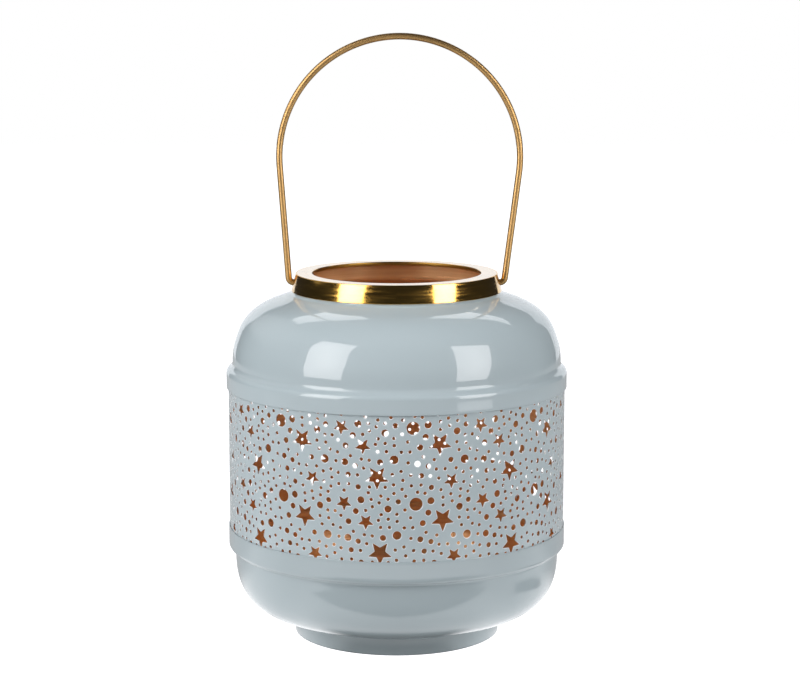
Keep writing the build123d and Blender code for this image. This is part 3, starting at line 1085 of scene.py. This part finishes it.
def make_camera():
    """The camera that took the photograph."""
    data = bpy.data.cameras.new("camera")
    data.sensor_width = sensor_width
    data.lens = focal_length
    data.clip_start = 0.05
    data.clip_end = 50
    camera = new_piece("camera", data)
    camera.location = Vector(camera_place) * MM
    camera.rotation_euler = (math.radians(90 - camera_pitch), 0, math.radians(camera_yaw))
    bpy.context.scene.camera = camera


def make_table():
    """The pale floor that the camera sees, and the cards that light the lantern and mirror in it."""
    corners = [(x, y, 0) for x in (-floor_reach, floor_reach) for y in (-floor_reach, floor_reach)]
    floor = card("floor", corners, stage_material("pale_floor", paper, floor_light), seen=True)
    floor.visible_diffuse = floor.visible_glossy = False
    table_card("table_light", paper, table_light).visible_glossy = False
    table_card("table_mirror", paper, table_mirror).visible_diffuse = False


def make_lights():
    """Two soft boxes in front, a wall at the left, paper and two boxes behind, and a ceiling."""
    left = stage_material("left_box", box_white, front_box_light, left_box_hot)
    front_card("left_box", -1, left_box, left)
    right = stage_material("right_box", box_white, front_box_light, right_box_hot)
    front_card("right_box", 1, right_box, right)
    front_card("right_under", 1, under_box, stage_material("right_under", box_white, under_box_light))
    wall = stage_material("left_wall", paper, left_wall_light, left_wall_hot)
    sky_card("left_wall", wall_base, wall_distance, left_wall, wall)
    behind = stage_material("back_paper", blue_paper, back_paper_light)
    sky_card("back_paper", wall_base, wall_distance, back_paper, behind)
    over = stage_material("back_boxes", paper, back_box_light)
    sky_card("back_left_box", back_box_base, back_box_distance, back_left_box, over)
    sky_card("back_right_box", back_box_base, back_box_distance, back_right_box, over)
    above = stage_material("ceiling", paper, ceiling_light)
    above.cycles.emission_sampling = "NONE"
    card("ceiling", ceiling, above).visible_glossy = False


def make_world():
    """The world: white where the camera looks past everything, and nearly dark as a light."""
    world = bpy.data.worlds.new("studio")
    world.use_nodes = True
    bpy.context.scene.world = world
    nodes, links = world.node_tree.nodes, world.node_tree.links
    path = nodes.new("ShaderNodeLightPath")
    pick = nodes.new("ShaderNodeMix")
    pick.data_type = "RGBA"
    # Inputs 6 and 7 are the two colours, and output 2 is the mixed one
    pick.inputs[6].default_value = (*room_dim, 1)
    pick.inputs[7].default_value = (1, 1, 1, 1)
    links.new(path.outputs["Is Camera Ray"], pick.inputs[0])
    links.new(pick.outputs[2], nodes["Background"].inputs["Color"])
    view = bpy.context.scene.view_settings
    view.view_transform = "Standard"
    view.look = "None"


make_camera()
make_table()
make_lights()
make_world()

dome_enamel = enamel("dome_enamel", grey_blue, 0.000003)
# The bowl's enamel is the body paint made a little darker: painted shade where the bowl gets less light
bowl_enamel_painted_shade = enamel("bowl_enamel_painted_shade", shade(grey_blue, 0.9), 0.000005)
# The foot's enamel is the body paint made darker: painted shade for the shadow under the bowl's overhang
foot_enamel_painted_shade = enamel("foot_enamel_painted_shade", shade(grey_blue, 0.78), 0.000005)
band_enamel = enamel("band_enamel", grey_blue, 0.000008)
# The hole walls' enamel is a lighter blue: painted highlight for the glints on the punched edges
rim_enamel_painted_highlight = enamel("rim_enamel_painted_highlight", painted_highlight_blue, 0.000003)
inside_copper = copper_paint("inside_copper", copper, 420.0)
collar_brass = brass("collar_brass", gold, (0.07, 0.22), 0.00002, coat=0.4)
top_brass = brass("top_brass", gold, (0.07, 0.22), 0.00002, coat=1.0)
# The lip's brass is the collar brass made much darker: painted shade inside the opening
lip_brass_painted_shade = brass("lip_brass_painted_shade", shade(gold, 0.4), (0.3, 0.45), 0.00002, coat=0.2)
wire_brass = brass("wire_brass", wire_gold, (0.4, 0.5), 0.000002, coat=0.0, along=(0.02, 0.12))

put(foot_mesh(foot_enamel_painted_shade), "lantern", "foot_ring")
put(bowl_mesh(bowl_enamel_painted_shade, inside_copper), "lantern", "base_bowl")
put(dome_mesh(dome_enamel, inside_copper), "lantern", "dome_shell")
put(band_mesh(band_enamel, inside_copper, rim_enamel_painted_highlight), "lantern", "punched_band")
put(collar_mesh(collar_brass, top_brass, lip_brass_painted_shade), "lantern", "rim_collar")
put(bail_mesh(wire_brass), "bail", "bail_handle")
